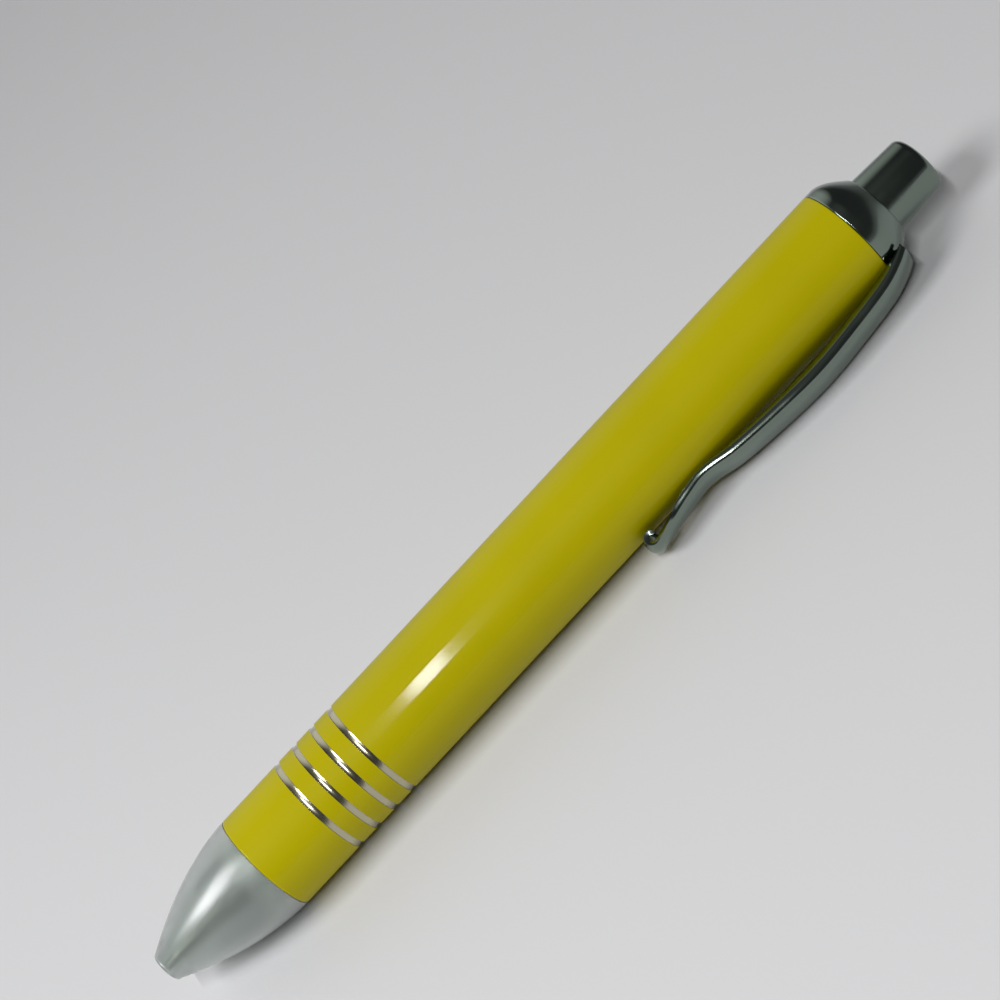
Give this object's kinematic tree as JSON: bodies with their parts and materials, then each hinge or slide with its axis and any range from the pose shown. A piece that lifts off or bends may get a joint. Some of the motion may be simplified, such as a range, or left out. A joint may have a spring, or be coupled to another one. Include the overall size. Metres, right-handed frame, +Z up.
{
  "type": "push-button ball pen with a lamp",
  "caption": "Push-button metal ball pen with a clear tapered nose lit by an inner lamp, grooved barrel, chrome domed cap, button and pocket clip.",
  "frame": {"origin": "on the surface that the pen lies on, under the middle of its box", "axes": "+X along the pen towards the push button, the writing tip at -X, +Z up; the clip lies on the -Y side and rests on the surface"},
  "size_m": [0.1318, 0.0174, 0.014],
  "materials": {
    "yellow_lacquer": "gloss",
    "clear_nose": "clear, lightly frosted",
    "chrome": "polished",
    "spring_steel": "drawn wire",
    "cell_steel": "satin nickel plate",
    "brass": "stamped",
    "nickel_silver": "turned",
    "carbide": "ground",
    "white_plastic": "moulded",
    "natural_plastic": "moulded",
    "black_plastic": "moulded",
    "lamp_lens": "clear lens",
    "blue_ink": "wet"
  },
  "bodies": {
    "barrel": {"barrel": "yellow_lacquer", "top_cap": "chrome", "click_guide": "natural_plastic", "inner_carrier": "white_plastic", "led_holder": "white_plastic", "led_lamp": "lamp_lens", "led_anode_lead": "spring_steel", "led_cathode_lead": "spring_steel", "anode_strip": "brass", "earth_ring": "brass", "barrel_contact": "brass", "return_spring": "spring_steel"},
    "nose": {"nose_cone": "clear_nose"},
    "clip": {"pocket_clip": "chrome"},
    "button": {"push_button": "chrome", "thrust_cam": "natural_plastic"},
    "refill": {"cam_rotor": "white_plastic", "battery_sleeve": "natural_plastic", "button_cell_1": "cell_steel", "button_cell_2": "cell_steel", "button_cell_3": "cell_steel", "cell_spring": "spring_steel", "tail_contact": "brass", "front_contact": "brass", "sliding_contact": "brass", "refill_socket": "black_plastic", "refill_collar": "brass", "refill_tube": "natural_plastic", "ink_column": "blue_ink", "refill_tip": "nickel_silver", "refill_ball": "carbide"}
  },
  "joints": [
    {"name": "button_press", "type": "slide", "parent": "barrel", "child": "button", "axis": [-1, 0, 0], "range_m": [0, 0.0056], "stiffness_N_per_m": 400, "springref_m": -0.004},
    {"name": "refill_advance", "type": "slide", "parent": "barrel", "child": "refill", "axis": [-1, 0, 0], "range_m": [0, 0.0056], "deforming": ["return_spring"]},
    {"name": "nose_removal", "type": "slide", "parent": "barrel", "child": "nose", "axis": [-1, 0, 0], "range_m": [0, 0.012]},
    {"name": "clip_flex", "type": "hinge", "parent": "barrel", "child": "clip", "pos_m": [0.05625, -0.00398, 0.00412], "axis": [0, -0.4472, 0.8944], "range_deg": [0, 4], "stiffness_Nm_per_rad": 1.2, "springref_deg": -0.57}
  ],
  "couplings": [
    {"joint": "refill_advance", "follows": "button_press", "ratio": 1}
  ]
}
